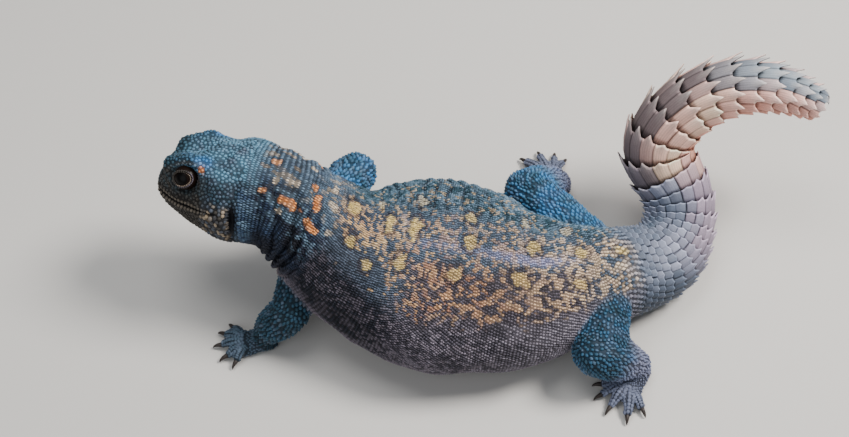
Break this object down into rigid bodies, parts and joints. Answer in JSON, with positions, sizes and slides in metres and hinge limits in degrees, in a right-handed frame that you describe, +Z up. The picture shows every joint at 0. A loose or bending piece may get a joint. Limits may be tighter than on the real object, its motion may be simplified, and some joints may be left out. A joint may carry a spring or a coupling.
{
  "type": "ornate uromastyx lizard figure",
  "caption": "Life-size still figure of an ornate uromastyx resting on its belly, with raised head, folded neck and a spiny tail that curves up and back.",
  "frame": {"origin": "middle of the model's box on the floor it rests on", "axes": "+X towards the tail tip, -X the way it faces, +Z up; the animal's left side is towards -Y"},
  "size_m": [0.2556, 0.1332, 0.0795],
  "materials": {
    "head_skin": "matte scaly skin, teal blue on top and brown-grey on the face",
    "neck_skin": "matte folded skin, navy blue with orange patches",
    "body_skin": "matte fine scales, steel blue with yellow and brown markings",
    "limb_skin": "matte keeled scales, bright to dark blue",
    "foot_skin": "matte scales, grey-blue, with dark claws",
    "tail_base_scale": "satin plate scales, lilac grey",
    "tail_scale": "satin spined scales, pink and cream with blue-grey on the back",
    "eye": "gloss, near black"
  },
  "bodies": {
    "root": {"eye_left": "eye", "eye_right": "eye", "foot_left": "foot_skin", "foot_right": "foot_skin", "forearm_left": "limb_skin", "forearm_right": "limb_skin", "hand_left": "foot_skin", "hand_right": "foot_skin", "head": "head_skin", "neck": "neck_skin", "shank_left": "limb_skin", "shank_right": "limb_skin", "tail_1": "tail_base_scale", "tail_2": "tail_base_scale", "tail_3": "tail_scale", "tail_4": "tail_scale", "thigh_left": "limb_skin", "thigh_right": "limb_skin", "torso": "body_skin", "upper_arm_left": "limb_skin", "upper_arm_right": "limb_skin"}
  },
  "joints": []
}
